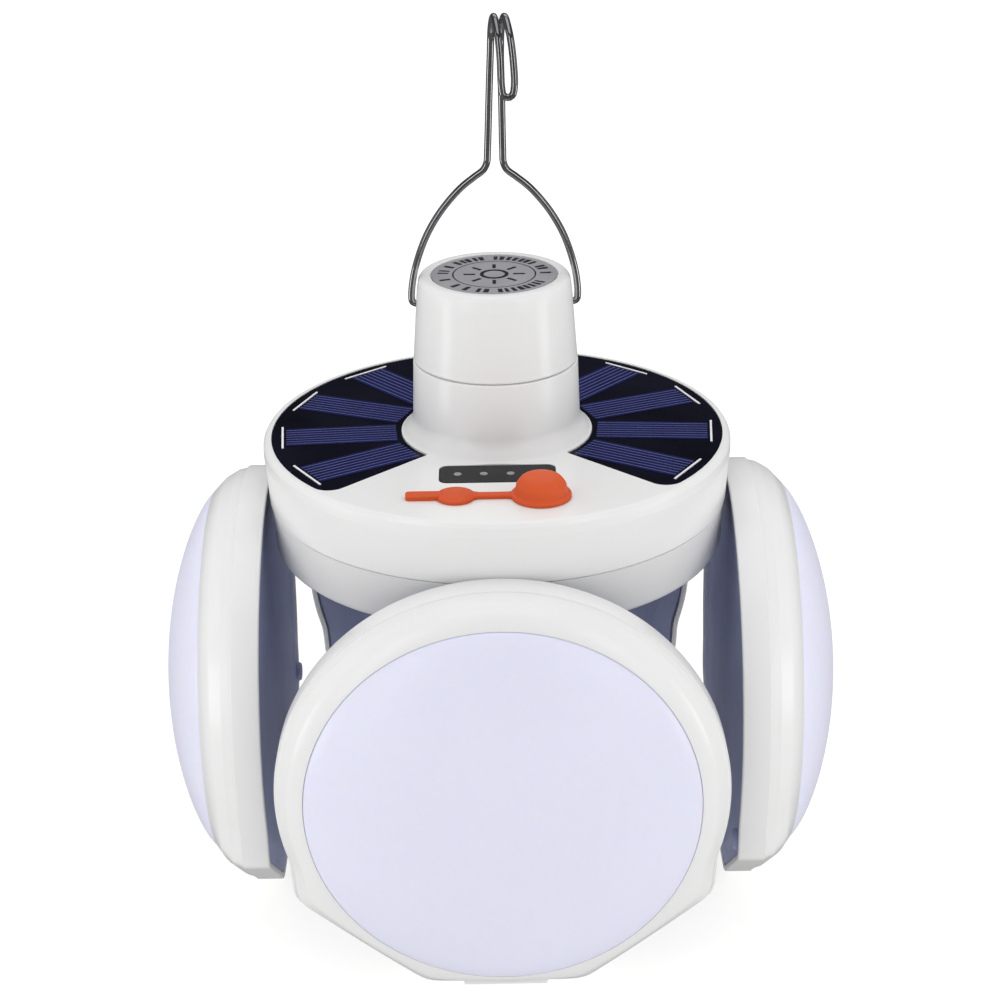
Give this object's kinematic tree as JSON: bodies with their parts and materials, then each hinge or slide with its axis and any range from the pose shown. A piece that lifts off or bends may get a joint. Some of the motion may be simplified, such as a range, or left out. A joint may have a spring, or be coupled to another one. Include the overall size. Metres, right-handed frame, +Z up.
{
  "type": "solar lantern",
  "caption": "Solar lantern: round lamp leaves hinged at a bottom hub fold up around a pillar under a solar disc with a bulb-shaped neck and a wire hanging hook.",
  "frame": {"origin": "on the lamp axis at the flat underside of the hub's ring, on which the folded lantern stands", "axes": "+Z up along the lamp axis to the hook; -Y towards the side with the charge window and port cover; +X to that side's right"},
  "size_m": [0.1522, 0.1522, 0.199],
  "materials": {
    "white_shell": "glossy injection-moulded white ABS",
    "grey_band": "satin light grey ABS",
    "blue_grey_shell": "satin blue-grey ABS",
    "milky_diffuser": "milky translucent diffuser, faintly lavender",
    "panel_black": "gloss black resin-coated board",
    "solar_cell": "indigo silicon cell under clear resin",
    "smoke_window": "dark smoked window",
    "orange_silicone": "matt orange silicone",
    "cap_label": "grey printed plastic label",
    "bright_wire": "bright plated spring wire",
    "plated_steel": "plated steel",
    "green_board": "green solder mask",
    "white_board": "white solder mask on aluminium-core board",
    "battery_wrap": "heat-shrink wrap",
    "black_insulation": "insulated leads in a sleeve",
    "dark_button": "dark grey button"
  },
  "bodies": {
    "housing": {"top_housing": "white_shell", "lower_housing": "grey_band", "housing_screw_1": "plated_steel", "housing_screw_2": "plated_steel", "housing_screw_3": "plated_steel", "neck_cap": "white_shell", "cap_label": "cap_label", "solar_panel": "panel_black", "solar_cell_1": "solar_cell", "solar_cell_2": "solar_cell", "solar_cell_3": "solar_cell", "solar_cell_4": "solar_cell", "solar_cell_5": "solar_cell", "solar_cell_6": "solar_cell", "solar_cell_7": "solar_cell", "solar_cell_8": "solar_cell", "solar_cell_9": "solar_cell", "solar_cell_10": "solar_cell", "indicator_window": "smoke_window", "charge_port": "plated_steel", "port_cover_anchor": "orange_silicone", "main_board": "green_board", "battery_holder": "white_shell", "battery_cell": "battery_wrap", "battery_spring": "plated_steel", "battery_contact": "plated_steel", "power_switch": "green_board", "pillar": "white_shell", "hub_housing": "white_shell", "hub_screw_1": "plated_steel", "hub_screw_2": "plated_steel", "hub_screw_3": "plated_steel", "wire_harness": "black_insulation", "hub_led_board": "white_board", "hub_diffuser": "milky_diffuser", "hub_bezel": "white_shell", "hinge_pin_front": "plated_steel", "hinge_pin_right": "plated_steel", "hinge_pin_rear": "plated_steel", "hinge_pin_left": "plated_steel"},
    "leaf_front": {"leaf_front_bezel": "white_shell", "leaf_front_diffuser": "milky_diffuser", "leaf_front_back": "blue_grey_shell", "leaf_front_led_board": "white_board"},
    "leaf_right": {"leaf_right_bezel": "white_shell", "leaf_right_diffuser": "milky_diffuser", "leaf_right_back": "blue_grey_shell", "leaf_right_led_board": "white_board"},
    "leaf_rear": {"leaf_rear_bezel": "white_shell", "leaf_rear_diffuser": "milky_diffuser", "leaf_rear_back": "blue_grey_shell", "leaf_rear_led_board": "white_board"},
    "leaf_left": {"leaf_left_bezel": "white_shell", "leaf_left_diffuser": "milky_diffuser", "leaf_left_back": "blue_grey_shell", "leaf_left_led_board": "white_board"},
    "hanger": {"wire_hanger": "bright_wire"},
    "port_cover": {"port_cover": "orange_silicone"},
    "power_button": {"power_button": "dark_button"}
  },
  "joints": [
    {"name": "leaf_front_hinge", "type": "hinge", "parent": "housing", "child": "leaf_front", "pos_m": [0, -0.0473, 0.007], "axis": [1, 0, 0], "range_deg": [0, 90]},
    {"name": "leaf_right_hinge", "type": "hinge", "parent": "housing", "child": "leaf_right", "pos_m": [0.0473, 0, 0.007], "axis": [0, 1, 0], "range_deg": [0, 90]},
    {"name": "leaf_rear_hinge", "type": "hinge", "parent": "housing", "child": "leaf_rear", "pos_m": [0, 0.0473, 0.007], "axis": [-1, 0, 0], "range_deg": [0, 90]},
    {"name": "leaf_left_hinge", "type": "hinge", "parent": "housing", "child": "leaf_left", "pos_m": [-0.0473, 0, 0.007], "axis": [0, -1, 0], "range_deg": [0, 90]},
    {"name": "hanger_pivot", "type": "hinge", "parent": "housing", "child": "hanger", "pos_m": [0, 0, 0.1354], "axis": [1, 0, 0], "range_deg": [-105, 95]},
    {"name": "port_cover_hinge", "type": "hinge", "parent": "housing", "child": "port_cover", "pos_m": [-0.0038, -0.038, 0.1065], "axis": [0, -1, 0], "range_deg": [0, 110]},
    {"name": "power_button_press", "type": "slide", "parent": "housing", "child": "power_button", "axis": [0, -1, 0], "range_m": [0, 0.0008], "stiffness_N_per_m": 1200}
  ]
}
